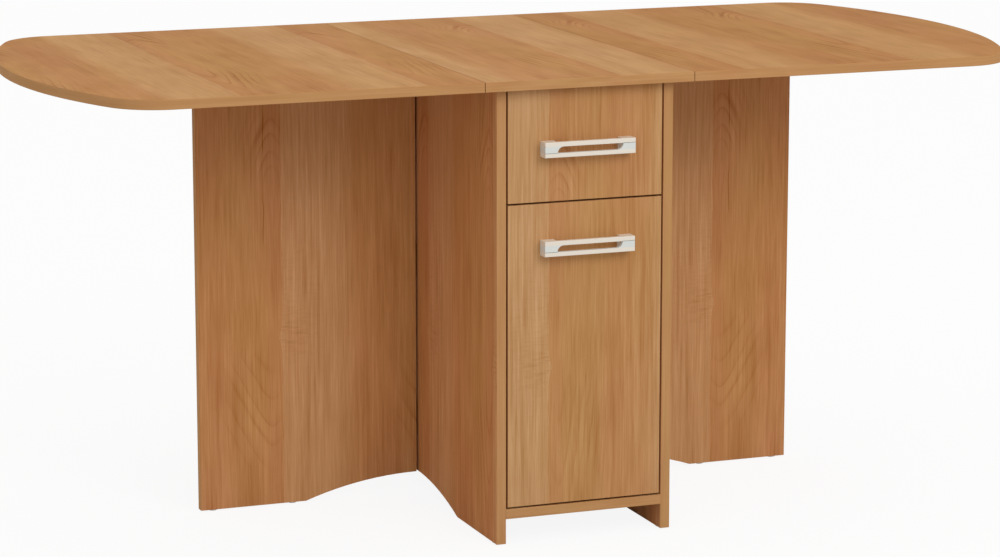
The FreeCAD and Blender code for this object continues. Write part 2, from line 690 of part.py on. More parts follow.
def drawer_side():
    top = DRAWER_SIDE_Z + DRAWER_SIDE_HEIGHT
    return block(-DRAWER_OUT, -DRAWER_IN, FRONT_BACK_FACE, DRAWER_BACK, DRAWER_SIDE_Z, top)


def drawer_back():
    top = DRAWER_SIDE_Z + DRAWER_SIDE_HEIGHT
    return block(-DRAWER_IN, DRAWER_IN, DRAWER_BACK - BOARD, DRAWER_BACK, DRAWER_SIDE_Z, top)


def drawer_bottom():
    """A hardboard sheet held in grooves all round."""
    half = DRAWER_IN + GROOVE
    y0, y1 = FRONT_BACK_FACE - GROOVE, DRAWER_BACK - BOARD + GROOVE
    return block(-half, half, y0, y1, DRAWER_BOTTOM_Z, DRAWER_BOTTOM_Z + HARDBOARD)


def drawer_joints():
    """Cam places and bolts at the front corners, and long screws at the back ones."""
    cams, bolts, screws = [], [], []
    for side in (-1, 1):
        middle_x = side * (DRAWER_OUT - BOARD / 2)
        for rise in DRAWER_JOINT_RISE:
            z = DRAWER_SIDE_Z + rise
            cams.append((Vector(side * DRAWER_IN, FRONT_BACK_FACE + CAM_DISTANCE, z), X_AXIS * side))
            bolts.append(cam_bolt(Vector(middle_x, FRONT_BACK_FACE, z), Y_AXIS))
            head = Vector(side * DRAWER_OUT, DRAWER_BACK - BOARD / 2, z)
            screws.append(wood_screw(head, X_AXIS * -side, CORNER_SCREW_LENGTH))
    return cams, bolts, screws


# ---------------------------------------------------------------- runners
RUNNER_FRONT = FRONT_BACK_FACE + 2.0
RUNNER_LENGTH = 500.0
CHANNEL_Z = 566.0
CHANNEL_HEIGHT = 26.4
LIP = 9.5                       # reach of the channel's lips and of the rail's flange
LIP_START = 30.0                # the lips leave the front roller free
CHANNEL_SCREWS = (40.0, 250.0, 440.0)   # from the front end
RAIL_FRONT = FRONT_BACK_FACE + 4.0
RAIL_UNDER = 13.0               # reach under the drawer side
RAIL_SCREWS = (60.0, 400.0)
ROLLER_GAP = 0.3                # above and below a roller, and beside it
ROLLER_Z = CHANNEL_Z + SHEET + ROLLER_GAP + ROLLER_RADIUS
ROLLER_OUT = SIDE_IN - 2.5      # outer and inner face of a roller
ROLLER_IN = SIDE_IN - 9.0
ROLLER_ROUND = 0.6
FRONT_ROLLER_Y = RUNNER_FRONT + 14.0
REAR_ROLLER_Y = RUNNER_FRONT + RUNNER_LENGTH - 19.0
RAIL_BACK = REAR_ROLLER_Y + 12.0
RAIL_FLANGE_Z = ROLLER_Z + ROLLER_RADIUS + ROLLER_GAP
AXLE_RADIUS = 2.5
AXLE_HEAD_RADIUS = 4.5
AXLE_HEAD = 0.7


def channel_screws():
    z = CHANNEL_Z + CHANNEL_HEIGHT / 2
    places = [Vector(-SIDE_IN + SHEET, RUNNER_FRONT + along, z) for along in CHANNEL_SCREWS]
    return [wood_screw(place, X_AXIS * -1) for place in places]


def runner_channel():
    """The left cabinet member: a steel channel with the axle of its front roller riveted on."""
    wall = -SIDE_IN
    y0, y1 = RUNNER_FRONT, RUNNER_FRONT + RUNNER_LENGTH
    z0, z1 = CHANNEL_Z, CHANNEL_Z + CHANNEL_HEIGHT
    web = block(wall, wall + SHEET, y0, y1, z0, z1)
    low_lip = block(wall, wall + LIP, y0 + LIP_START, y1, z0, z0 + SHEET)
    high_lip = block(wall, wall + LIP, y0 + LIP_START, y1, z1 - SHEET, z1)
    axle_end = -ROLLER_IN + ROLLER_GAP
    axle = rod(Vector(wall, FRONT_ROLLER_Y, ROLLER_Z), X_AXIS, AXLE_RADIUS, axle_end - wall)
    head = rod(Vector(axle_end, FRONT_ROLLER_Y, ROLLER_Z), X_AXIS, AXLE_HEAD_RADIUS, AXLE_HEAD)
    channel = web.multiFuse([low_lip, high_lip, axle, head]).removeSplitter()
    return cut_all(channel, channel_screws())


def rail_screws():
    x = -DRAWER_OUT + BOARD / 2 - 1.0
    places = [Vector(x, RUNNER_FRONT + along, DRAWER_SIDE_Z - SHEET) for along in RAIL_SCREWS]
    return [wood_screw(place, Z_AXIS) for place in places]


def runner_rail():
    """The left drawer member: an angle under the drawer side, a flange over the front roller, a rear axle."""
    wall = -DRAWER_OUT
    under_z = DRAWER_SIDE_Z - SHEET
    upright = block(wall - SHEET, wall, RAIL_FRONT, RAIL_BACK, under_z, RAIL_FLANGE_Z + SHEET)
    under = block(wall - SHEET, wall + RAIL_UNDER, RAIL_FRONT, RAIL_BACK, under_z, DRAWER_SIDE_Z)
    flange = block(wall - LIP, wall, RAIL_FRONT, RAIL_BACK, RAIL_FLANGE_Z, RAIL_FLANGE_Z + SHEET)
    axle_end = -ROLLER_OUT - ROLLER_GAP
    axle = rod(Vector(wall, REAR_ROLLER_Y, ROLLER_Z), X_AXIS * -1, AXLE_RADIUS, wall - axle_end)
    head = rod(Vector(axle_end, REAR_ROLLER_Y, ROLLER_Z), X_AXIS * -1, AXLE_HEAD_RADIUS, AXLE_HEAD)
    rail = upright.multiFuse([under, flange, axle, head]).removeSplitter()
    return cut_all(rail, rail_screws())


def roller(y):
    """A nylon roller with a running fit on its axle."""
    width = ROLLER_OUT - ROLLER_IN
    wheel = rod(Vector(-ROLLER_OUT, y, ROLLER_Z), X_AXIS, ROLLER_RADIUS, width)
    wheel = rounded(wheel, ROLLER_ROUND, lambda e: e.Length > 4 * ROLLER_RADIUS)
    bore_start = Vector(-ROLLER_OUT - 1, y, ROLLER_Z)
    return wheel.cut(rod(bore_start, X_AXIS, AXLE_RADIUS + RUNNING_PLAY, width + 2))


# ---------------------------------------------------------------- cabinet body
cams, bolts, dowels = panel_joints()
brackets, bracket_screws = top_brackets()
pins = shelf_pins()
glides = cabinet_glides()
leaf_set = leaf_hinges()
gate_set = gate_hinges()
cabinet_screws = bracket_screws + both(channel_screws())
cabinet_screws += both(leaf_set["fixed_screws"]) + both(gate_set["fixed_screws"])
for hinge_z in DOOR_HINGE_Z:
    cabinet_screws += base_screws(hinge_z)
cabinet_inserts = [cam_pocket(*cam) for cam in cams] + bolts + dowels + pins + glides + cabinet_screws

save("side_panel_left", cut_all(side_panel(), cabinet_inserts))
save("side_panel_right", cut_all(mirrored(side_panel()), cabinet_inserts))
save("bottom_panel", cut_all(bottom_panel(), cabinet_inserts))
save("back_panel", cut_all(back_panel(), cabinet_inserts))
save("middle_panel", cut_all(middle_panel(), cabinet_inserts))
save("loose_shelf", loose_shelf())
save("shelf_pins", *pins)
save("top_middle", cut_all(middle_top(), cabinet_inserts))
save("dowels", *dowels)
save("cam_locks", *[cam_lock(*cam, bolts) for cam in cams])
save("cam_bolts", *bolts)
save("top_brackets", *brackets)
save("cabinet_screws", *recessed(cabinet_screws))
save("cabinet_glides", *glides)
save("gate_hinge_pins", *both(gate_set["pins"]))
save("leaf_hinge_pins", *both(leaf_set["pins"]))
save("door_hinge_bases", *[hinge_base(z) for z in DOOR_HINGE_Z])
save("door_hinge_arms", *[hinge_arm(z) for z in DOOR_HINGE_Z])

# ---------------------------------------------------------------- drawer body and rollers
drawer_cams, drawer_bolts, drawer_screws = drawer_joints()
drawer_screws += both(rail_screws())
drawer_handle_screws = handle_screws(DRAWER_HANDLE_Z)
sheet = drawer_bottom()
drawer_inserts = [cam_pocket(*cam) for cam in drawer_cams] + drawer_bolts + drawer_screws
drawer_inserts += drawer_handle_screws + [sheet]
drawer_front = front_board(DOOR_TOP + FRONT_GAP, TOP_UNDERSIDE - FRONT_GAP)

save("drawer_front", cut_all(drawer_front, drawer_inserts))
save("drawer_side_left", cut_all(drawer_side(), drawer_inserts))
save("drawer_side_right", cut_all(mirrored(drawer_side()), drawer_inserts))
save("drawer_back", cut_all(drawer_back(), drawer_inserts))
save("drawer_bottom", sheet)
save("drawer_cam_locks", *[cam_lock(*cam, drawer_bolts) for cam in drawer_cams])
save("drawer_cam_bolts", *drawer_bolts)
save("drawer_screws", *recessed(drawer_screws))
save("drawer_handle", cut_all(handle(DRAWER_HANDLE_Z), drawer_handle_screws))
save("drawer_handle_screws", *recessed(drawer_handle_screws))
save("front_rollers", *both([roller(FRONT_ROLLER_Y)]))
save("rear_rollers", *both([roller(REAR_ROLLER_Y)]))

# ---------------------------------------------------------------- door body
door_handle_screws = handle_screws(DOOR_HANDLE_Z)
door_screws = [screw for z in DOOR_HINGE_Z for screw in cup_screws(z)]
door_inserts = [cup_pocket(z) for z in DOOR_HINGE_Z] + door_screws + door_handle_screws

save("door", cut_all(front_board(DOOR_FOOT, DOOR_TOP), door_inserts))
save("door_hinge_cups", *[hinge_cup(z) for z in DOOR_HINGE_Z])
save("door_screws", *recessed(door_screws))
save("door_handle", cut_all(handle(DOOR_HANDLE_Z), door_handle_screws))
save("door_handle_screws", *recessed(door_handle_screws))

# ---------------------------------------------------------------- what each end of the table has
leaf_screws = leaf_set["moving_screws"] + gate_stop_screws()
end_pieces = {
    "runner_channel_": [runner_channel()],
    "runner_rail_": [runner_rail()],
    "gate_hinge_fixed_": gate_set["fixed"],
    "leaf_hinge_fixed_": leaf_set["fixed"],
    "gate_": [cut_all(gate(), gate_set["moving_screws"] + gate_glides())],
    "gate_hinge_moving_": gate_set["moving"],
    "gate_screws_": recessed(gate_set["moving_screws"]),
    "gate_glides_": gate_glides(),
    "leaf_": [cut_all(leaf(), leaf_screws)],
    "leaf_hinge_moving_": leaf_set["moving"],
    "leaf_screws_": recessed(leaf_screws),
    "gate_stop_": [cut_all(gate_stop(), gate_stop_screws())],
}
for name, pieces in end_pieces.items():
    save(name + "left", *pieces)
    save(name + "right", *[mirrored(piece) for piece in pieces])
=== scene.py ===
import math

import bpy
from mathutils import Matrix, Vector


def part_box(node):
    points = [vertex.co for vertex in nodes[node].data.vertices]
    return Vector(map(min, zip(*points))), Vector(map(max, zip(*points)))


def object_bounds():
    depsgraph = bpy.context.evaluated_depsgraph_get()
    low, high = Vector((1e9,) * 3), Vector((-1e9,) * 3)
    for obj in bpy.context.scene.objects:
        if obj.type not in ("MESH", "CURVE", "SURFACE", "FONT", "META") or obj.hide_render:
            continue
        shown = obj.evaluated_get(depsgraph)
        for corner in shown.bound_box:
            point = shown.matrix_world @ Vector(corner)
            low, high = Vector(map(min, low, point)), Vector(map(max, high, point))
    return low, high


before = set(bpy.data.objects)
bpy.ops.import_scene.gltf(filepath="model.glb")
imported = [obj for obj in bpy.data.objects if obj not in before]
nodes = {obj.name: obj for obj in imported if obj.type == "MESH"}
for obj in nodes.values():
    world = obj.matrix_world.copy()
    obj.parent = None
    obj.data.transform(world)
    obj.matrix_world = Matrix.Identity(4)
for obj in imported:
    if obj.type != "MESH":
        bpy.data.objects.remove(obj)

cad_box = [list(corner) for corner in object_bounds()]


# ---------------------------------------------------------------- side panels
# The cabinet's two uprights, sawn from 16 mm chipboard faced on both sides with a printed alder film. Every
# edge, the arch in the foot too, is closed with a glued strip in the same print, its grain along the edge.

class Wire:
    """An output socket of a node tree. Arithmetic on it adds the node that does the sum."""

    def __init__(self, tree, socket=None):
        self.tree = tree
        self.socket = socket

    def node(self, kind, settings=None, inputs=None, output=0):
        """Adds any node, from its type, its settings, and the values or wires of its sockets."""
        made = self.tree.nodes.new("ShaderNode" + kind)
        for name, value in (settings or {}).items():
            if name == "stops":
                ramp = made.color_ramp.elements
                ramp[0].color = (*value[0][1], 1)
                ramp[-1].color = (*value[-1][1], 1)
                for position, colour in value[1:-1]:
                    ramp.new(position).color = (*colour, 1)
            else:
                setattr(made, name, value)
        for name, value in (inputs or {}).items():
            if isinstance(value, Wire):
                self.tree.links.new(value.socket, made.inputs[name])
            else:
                made.inputs[name].default_value = value
        return Wire(self.tree, made.outputs[output])

    def math(self, operation, *values):
        return self.node("Math", {"operation": operation}, dict(enumerate(values)))

    def __add__(self, other):
        return self.math("ADD", self, other)

    def __radd__(self, other):
        return self.math("ADD", other, self)

    def __sub__(self, other):
        return self.math("SUBTRACT", self, other)

    def __rsub__(self, other):
        return self.math("SUBTRACT", other, self)

    def __mul__(self, other):
        return self.math("MULTIPLY", self, other)

    def __rmul__(self, other):
        return self.math("MULTIPLY", other, self)

    def __truediv__(self, other):
        return self.math("DIVIDE", self, other)

    def __pow__(self, other):
        return self.math("POWER", self, other)

    def __abs__(self):
        return self.math("ABSOLUTE", self)

    def fraction(self):
        return self.math("FRACT", self)

    def above(self, level):
        return self.math("GREATER_THAN", self, level)

    def clipped(self):
        """The same number, held between 0 and 1."""
        return self.node("Clamp", {}, {"Value": self})

    def ramp(self, start, end):
        """0 up to start, then in a straight line to 1 at end. end may lie below start."""
        return ((self - start) / (end - start)).clipped()

    def peak(self, centre, half_width):
        """1 where this wire is at centre, falling in a straight line to 0 on either side."""
        return (1 - abs(self - centre) / half_width).clipped()

    def axis(self, letter):
        return self.node("SeparateXYZ", {}, {0: self}, letter)

    def pick(self, low, high):
        """low where this wire is 0, high where it is 1."""
        return self.node("Mix", {"data_type": "FLOAT"}, {0: self, 2: low, 3: high})

    def blend(self, low, high):
        """The same for colours."""
        return self.node("Mix", {"data_type": "RGBA"}, {0: self, 6: low, 7: high}, 2)

    def shaded(self, amount):
        """A colour made lighter or darker by a number."""
        return self.node("VectorMath", {"operation": "SCALE"}, {0: self, "Scale": amount})

    def stained(self, colour):
        """A colour seen through another."""
        return self.node("VectorMath", {"operation": "MULTIPLY"}, {0: self, 1: colour})


def srgb(red, green, blue):
    """A colour as a paint chart gives it, for Blender's linear sockets."""
    parts = []
    for value in (red / 255, green / 255, blue / 255):
        parts.append(value / 12.92 if value <= 0.04045 else ((value + 0.055) / 1.055) ** 2.4)
    return (*parts, 1)


def cloud(u, v, seed, fine_u, fine_v, detail=2.0):
    """Noise around 0. u runs across the grain and v along it, with fine_u and fine_v lumps a metre; seed
    tells one noise from the next."""
    place = u.node("CombineXYZ", {}, {0: u * fine_u, 1: v * fine_v, 2: seed})
    return u.node("TexNoise", {}, {"Vector": place, "Scale": 1.0, "Detail": detail}) - 0.5


def patches(u, v, seed, fine_u, fine_v, contrast, lift, detail=1.0):
    """Noise raised in contrast and then clipped to between 0 and 1. A lift below 0 leaves single flecks."""
    return (cloud(u, v, seed, fine_u, fine_v, detail) * contrast + lift).clipped()


def material(name):
    """A new material, its shader, and a wire for the place on the piece in metres."""
    made = bpy.data.materials.new(name)
    made.use_nodes = True
    place = Wire(made.node_tree).node("TexCoord", output="Object")
    return made, made.node_tree.nodes["Principled BSDF"], place


def feed(shader, name, wire):
    """Lets a wire set one of the shader's inputs."""
    wire.tree.links.new(wire.socket, shader.inputs[name])


def bump(shader, height, depth):
    """Gives the surface a fine relief, depth metres for a height of 1."""
    feed(shader, "Normal", height.node("Bump", {}, {"Height": height, "Distance": depth, "Strength": 0.6}))


film_repeat = 0.300     # width over which the print's three planks come round again, in metres
heart = 0.94            # where in that width the figured plank's growth rings are centred
ring_width = 0.0115     # from one growth ring to the next


def film_planks(ragged, v):
    """Where in the repeat a place lies, from 0 at the hard joint, and how pale, warm and figured the film is
    there. The joint has a small notch."""
    notch_depth = 0.006
    notch = v.peak(0.0, 0.035)
    sheet = ((ragged + notch * notch * notch_depth) / film_repeat).fraction()
    # each stop: the place in the repeat, then pale, warm and figured
    ramp = sheet.node("ValToRGB", {"stops": [
        (0.000, (0.56, 0.40, 0.05)),
        (0.200, (0.70, 0.30, 0.05)),
        (0.360, (0.60, 0.42, 0.10)),
        (0.430, (0.16, 0.60, 0.30)),
        (0.640, (0.06, 0.70, 0.75)),
        (0.740, (0.10, 0.28, 1.00)),
        (0.900, (0.06, 0.36, 1.00)),
        (0.945, (0.12, 0.76, 0.55)),
        (1.000, (0.06, 0.66, 0.25)),
    ]}, {0: sheet})
    return sheet, *(ramp.node("SeparateColor", {}, {0: ramp}, part) for part in ("Red", "Green", "Blue"))


def film_arches(u, v, off, drift, figured, vees):
    """The dark edges of growth rings cut at a slant, which close above and below in long arches. off is the
    distance across from their centre. They show in patches near it, mostly at two heights."""
    middle = 0.15           # height of the arches' middle over the notch
    round_tip = 0.0002      # how round the arches' tips are, and how round their sides at the middle
    round_side = 0.002
    slant = 0.12            # how fast the sides close
    rise = v - middle
    bend = drift * 0.8 + cloud(u, v, 4.1, 9, 4.6, 1.0) * 0.017
    reach = (off * off + round_tip) ** 0.5 + (rise * rise + round_side) ** 0.5 * slant + bend
    closing_above = v.ramp(0.28, 0.37) * 0.020
    closing_below = v.ramp(0.0, -0.25) * 0.105 * vees
    reach = reach + closing_above + closing_below
    wider_below = v.ramp(0.06, -0.023) * 0.5 * vees
    rings = (reach / ring_width + cloud(reach, v, 8.2, 45, 1.0, 1.0) * 3.0) * (1 - wider_below)
    # a ring darkens slowly over most of its width and ends sharply
    slow = 0.8
    ring = rings.fraction()
    ring = ring.math("MINIMUM", ring / slow, (1 - ring) / (1 - slow)) ** 4.0
    upper, lower = v.peak(0.35, 0.19), v.peak(-0.14, 0.14)
    patch = (cloud(u, v, 7.3, 14, 3.6, 1.0) * 2.4 - 0.25 + (upper + lower) * 1.2).clipped()
    return ring * patch * (1.25 - abs(off) / 0.075).clipped() * figured


def edging(place, facing, across, along, through, round_rim):
    """The edging strip, one even plank with its grain along the edge: how light and how warm it is. On a
    round rim it is measured along the table's ends, which are arcs round the table's middle."""
    if round_rim:
        end_radius = cad_box[1][0]
        x, y = place.axis("X"), place.axis("Y")
        run = x.math("ARCTAN2", y, x) * end_radius
    else:
        run = abs(facing.axis(across)).above(0.5).pick(place.axis(across), place.axis(along))
    level = place.axis(through)
    tone = 0.985 + cloud(level, run, 3.3, 330, 5, 3.0) * 0.36 + cloud(level, run, 6.1, 60, 9, 2.0) * 0.26 \
        - patches(level, run, 4.4, 1000, 50, 9, -2.0) * 0.12
    return tone, 0.50 + cloud(level, run, 1.3, 40, 6, 1.0) * 2.0


def alder(name, across, along, through, joint, side, fleck=0.283, tint=(1.0, 1.0, 1.0), grain=0.95,
          mottle=1.3, round_rim=False, crack=0.0, vees=0.0):
    """The printed film on a board: a light plank, then a redder one, then one with arched figure that ends
    at a hard joint. joint is where that joint falls, side the way to the light plank, and fleck the place
    along the grain of the notch and ripples. grain is the strength of the streaks, mottle that of clouds and
    figure, crack that of a dark mineral line, and vees how far the low arches close in wide V shapes."""
    made, shader, place = material(name)
    facing = place.node("TexCoord", output="Normal")
    u = (place.axis(across) - joint) * side
    v = place.axis(along) - fleck
    drift = cloud(u, v, 1.7, 5, 2.4, 1.0) * 0.030           # the grain wanders slowly
    ragged = u + cloud(u, v, 6.8, 2, 20, 3.0) * 0.007       # and the planks' edges are a little uneven
    off = ((ragged / film_repeat).fraction() - heart) * film_repeat
    sheet, pale, warmth, figured = film_planks(ragged, v)
    arches = film_arches(u, v, off, drift, figured, vees)
    seam = sheet.peak(1.0, 0.008)

    # fine streaks in bundles, broken dashes, short dark pores, and soft clouds of tone and of warmth
    wavy = u + drift * 0.5
    band = cloud(wavy, v, 5.5, 62, 2.6, 2.0) * grain
    bundle = patches(u, v, 12.3, 26, 1.5, 2.6, 0.5)
    streak = cloud(wavy, v, 2.2, 250, 5.0, 3.0) * (bundle * 0.9 + 0.5) * grain
    dashes = patches(wavy, v, 10.6, 380, 9, 9, -2.3) * grain
    fibre = cloud(wavy, v, 5.9, 700, 16, 2.0) * grain
    pores = patches(wavy, v, 8.8, 900, 42, 9, -2.0)
    soft = cloud(u, v, 3.6, 9, 3.4, 2.0)
    flame = cloud(u, v, 13.7, 34, 9, 2.0)
    blush = cloud(u, v, 9.4, 8, 3.6, 1.0)

    # ripples across the light plank by the notch, and the mineral line close to the joint
    beside = v.peak(0.004, 0.05) * sheet.peak(0.0, 0.278) + v.peak(0.08, 0.20) * sheet.peak(0.0, 0.333) * 0.45
    ripple = patches(u, v, 6.5, 55, 260, 4, 0.1, 2.0) * beside
    mineral = off.peak(-0.012, 0.0010) * patches(u, v, 2.9, 4, 9, 9, 0.6) * crack \
        * (v.peak(0.27, 0.14) * 3).clipped()

    clouds = (soft * 0.26 + flame * 0.20 - arches * 0.22) * mottle + (pale - 0.3) * 0.10 * (mottle - 1)
    face_tone = 1.0 + band * 0.44 + streak * 0.58 + fibre * 0.60 + clouds - pores * 0.22 * grain \
        - dashes * 0.16 - ripple * 0.22 - mineral * 0.60 - seam * 0.10
    face_warmth = warmth + blush * 1.8 + arches * 0.5
    face_pale = pale + blush * 0.6 + streak * 0.4 - arches * 0.2

    rim_tone, rim_warmth = edging(place, facing, across, along, through, round_rim)
    on_face = abs(facing.axis(through)).above(0.6)
    tone = on_face.pick(rim_tone, face_tone)
    warm = on_face.pick(rim_warmth, face_warmth).clipped()
    pallor = on_face.pick(0.36, face_pale).clipped()
    yellow_brown, red_brown, light_wood = srgb(187, 140, 87), srgb(184, 128, 82), srgb(194, 151, 106)
    colour = pallor.blend(warm.blend(yellow_brown, red_brown), light_wood)
    # the faces take the board's tint, which on some boards is painted shade colour
    colour = colour.stained(on_face.blend((1, 1, 1, 1), (*tint, 1)))

    # what is darker is redder too
    redder = tone.node("VectorMath", {"operation": "MULTIPLY_ADD"},
                       {0: tone, 1: (0.66, 0.95, 1.40), 2: (0.34, 0.05, -0.40)})
    feed(shader, "Base Color", colour.stained(redder))
    feed(shader, "Roughness", 0.58 - fibre * 0.16 + pores * 0.08)
    shader.inputs["Specular IOR Level"].default_value = 0.02
    bump(shader, fibre * 0.5 - pores, 0.00006)
    return made


def dress(made, *names):
    """Gives carried-over CAD pieces a material."""
    for name in names:
        mesh = nodes[name].data
        mesh.materials.clear()
        mesh.materials.append(made)


# The redder tint on these faces is painted shade colour: it stands in for the reddish shade on the cabinet's
# flanks.
for hand in ("left", "right"):
    dress(alder("alder_side_" + hand, "Y", "Z", "X", joint=-0.062, side=-1, tint=(1.12, 0.95, 0.90)),
          "side_panel_" + hand)


# ---------------------------------------------------------------- bottom, middle panel, back and shelf
# Plain boards of the same chipboard between the uprights. Bottom, middle panel and back are dowelled and
# drawn tight with cams; the shelf lies loose on four pins.

dress(alder("alder_flat", "X", "Y", "Z", joint=0.09, side=1, fleck=0.1), "bottom_panel", "middle_panel",
      "loose_shelf")
dress(alder("alder_back", "X", "Z", "Y", joint=0.02, side=-1), "back_panel")


# ---------------------------------------------------------------- table top
# Three boards of the same chipboard, the fixed middle and two leaves, with square seams and edged all round.
# Each was cut from its own sheet, so the print starts anew at each seam; the left leaf's sheet lay the other
# way round.

# Each tint sets its sheet's colour; the right leaf's darker one is painted shade as well, for the light
# falling off towards that end.
for node, joint, side, tint in (("top_middle", 0.052, 1, (0.97, 0.92, 0.80)),
                                ("leaf_left", -0.270, -1, (0.97, 0.91, 0.78)),
                                ("leaf_right", 0.265, 1, (0.92, 0.84, 0.67))):
    dress(alder("alder_" + node, "X", "Y", "Z", joint, side, fleck=-0.085, tint=tint, grain=0.5, mottle=2.0,
                round_rim=True), node)


# ---------------------------------------------------------------- gates
# A full-height board on each side, hinged to the cabinet's side and standing square to it under the leaf. It
# is the same chipboard, edged all round and along the arch in its foot, and from a livelier part of the film.

# The redder tint on these faces is painted shade colour, standing in for the reddish shade under the leaves.
for node, joint, side, tint in (("gate_left", -0.388, 1, (1.09, 1.01, 1.00)),
                                ("gate_right", 0.388, -1, (1.07, 1.00, 0.99))):
    dress(alder("alder_" + node, "X", "Z", "Y", joint, side, tint=tint, crack=1.0, vees=1.0), node)


# ---------------------------------------------------------------- door and drawer front
# Both come from one board of the same chipboard, sawn through and then edged, so that the figure runs on
# across the gap. Cams draw the drawer front to the drawer's sides, and the door hangs on two cup hinges.

dress(alder("alder_fronts", "X", "Z", "Y", joint=-0.062, side=-1), "door", "drawer_front")


# ---------------------------------------------------------------- drawer box
# Sides and back of the same chipboard, cut as strips along the grain. Long screws through the sides hold the
# back, and the bottom is a sheet of brown hardboard in grooves all round.

dress(alder("alder_drawer_sides", "Z", "Y", "X", joint=0.60, side=1, fleck=0.1), "drawer_side_left",
      "drawer_side_right")
dress(alder("alder_drawer_back", "Z", "X", "Y", joint=0.60, side=1, fleck=0.0), "drawer_back")


def hardboard():
    """Pressed brown fibre with a few darker chips in it."""
    made, shader, place = material("hardboard_brown")
    x, y = place.axis("X"), place.axis("Y")
    fluff = cloud(x, y, 1.1, 420, 420, 4.0)
    chips = patches(x, y, 5.2, 900, 300, 8, -1.6)
    tint = patches(x, y, 2.4, 30, 30, 1.0, 0.5, 2.0)
    tone = 1.0 + fluff * 0.30 - chips * 0.22
    feed(shader, "Base Color", tint.blend(srgb(142, 100, 64), srgb(160, 120, 80)).shaded(tone))
    feed(shader, "Roughness", 0.55 + fluff * 0.2)
    bump(shader, fluff - chips, 0.0001)
    return made


dress(hardboard(), "drawer_bottom")


# ---------------------------------------------------------------- handles
# Moulded bow handles with a long slot, each held by two machine screws from behind. Two cream bars meet in a
# cooler white block at each end, where a fine groove runs on from the slot's edges, darkened with painted
# shade.

bar_edge = 0.0050       # half the height between the two bars
groove_level = 0.0052   # height of each groove above or below the handle's middle
groove_half = 0.00048   # half the groove's width
slot_end = 0.0556       # distance from the handle's middle at which the grooves begin
groove_depth = (0.00008, 0.00068)   # where the groove's walls lie behind the handle's face
sharp = 90000           # how fast a groove's shade sets in, per metre
gentle = 1500           # and how fast the white turns to cream


def handle_lacquer(node):
    """Satin lacquer, cream on the two bars and a cooler white between them, thin in the grooves and darkened
    there with painted shade.
    """
    made, shader, place = material(node + "_lacquer")
    low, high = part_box(node)
    x, level = place.axis("X"), place.axis("Z") - (low[2] + high[2]) / 2
    depth = place.axis("Y") - low[1]
    skin = cloud(x, level, 2.7, 380, 380, 2.0)
    soft = cloud(x, level, 4.9, 24, 24, 2.0)
    bars = ((abs(level) - bar_edge) * gentle).clipped()
    # painted shade: a band inside each groove is darkened, standing in for the shade that falls in it
    painted_groove_shade = ((groove_half - abs(abs(level) - groove_level)) * sharp).clipped() \
        * ((abs(x) - slot_end) * sharp).clipped() \
        * ((depth - groove_depth[0]) * sharp).clipped() * ((groove_depth[1] - depth) * sharp).clipped()
    white, cream = srgb(216, 219, 215), srgb(230, 221, 207)
    tone = 1.0 + skin * 0.03 + soft * 0.03 - painted_groove_shade * 0.5
    feed(shader, "Base Color", bars.blend(white, cream).shaded(tone))
    feed(shader, "Roughness", 0.34 + skin * 0.12)
    bump(shader, skin, 0.00002)
    return made


for node in ("drawer_handle", "door_handle"):
    dress(handle_lacquer(node), node)


# ---------------------------------------------------------------- runners and rollers
# Channels and rails rolled from steel strip and coated in off-white enamel, screwed to the cabinet and to the
# drawer, with white nylon rollers on riveted axles.

def coated(name, colour, rough, speck, texture):
    """Enamel or moulded plastic: an even colour with a faint orange-peel skin."""
    made, shader, place = material(name)
    x, z = place.axis("X") + place.axis("Y") * 0.8, place.axis("Z") + place.axis("Y") * 0.3
    skin = cloud(x, z, 2.7, 380, 380, 2.0)
    soft = patches(x, z, 4.9, 24, 24, 1.0, 0.5, 2.0)
    deep = [part * 0.97 for part in colour]
    feed(shader, "Base Color", soft.blend(srgb(*deep), srgb(*colour)).shaded(1.0 + skin * speck))
    feed(shader, "Roughness", rough + skin * 0.12)
    bump(shader, skin, texture)
    return made


dress(coated("runner_enamel", (231, 229, 221), rough=0.34, speck=0.05, texture=0.00005),
      "runner_channel_left", "runner_channel_right", "runner_rail_left", "runner_rail_right")
dress(coated("white_nylon", (236, 234, 226), rough=0.42, speck=0.05, texture=0.00003),
      "front_rollers", "rear_rollers")


# ---------------------------------------------------------------- hinges
# Stamped cup hinges in bright nickel on the door, and zinc-plated butt hinges with round pins, screwed on
# under the seams and behind the gates.

def metal(name, colour, rough, mottle, grit):
    """Plated steel: its colour and roughness vary softly, and a fine grit breaks its shine."""
    made, shader, place = material(name)
    shader.inputs["Metallic"].default_value = 1.0
    x, z = place.axis("X") + place.axis("Y") * 0.7, place.axis("Z") + place.axis("Y") * 0.4
    soft = cloud(x, z, 1.9, 90, 90, 3.0)
    grain = cloud(x, z, 3.1, grit, grit, 2.0)
    warm = (colour[0], colour[1] * 0.97, colour[2] * 0.92)
    tint = (soft * 2 + 0.5).clipped()
    tone = 1.0 + soft * mottle * 2 + grain * mottle
    feed(shader, "Base Color", tint.blend(srgb(*warm), srgb(*colour)).shaded(tone))
    feed(shader, "Roughness", rough + soft * 0.14 + grain * 0.08)
    bump(shader, grain, 0.00002)
    return made


dress(metal("nickel_steel", (205, 200, 190), rough=0.22, mottle=0.04, grit=900),
      "door_hinge_bases", "door_hinge_arms", "door_hinge_cups")
zinc_hinges = metal("zinc_hinges", (188, 190, 190), rough=0.36, mottle=0.10, grit=500)
for row in ("gate_hinge", "leaf_hinge"):
    dress(zinc_hinges, row + "_fixed_left", row + "_fixed_right", row + "_moving_left",
          row + "_moving_right", row + "_pins")


# ---------------------------------------------------------------- brackets, screws, cams, pins and dowels
# Zinc-plated angles, cams and machine screws, countersunk wood screws with the yellow tinge of their
# passivation, and beech dowels glued in the joints.

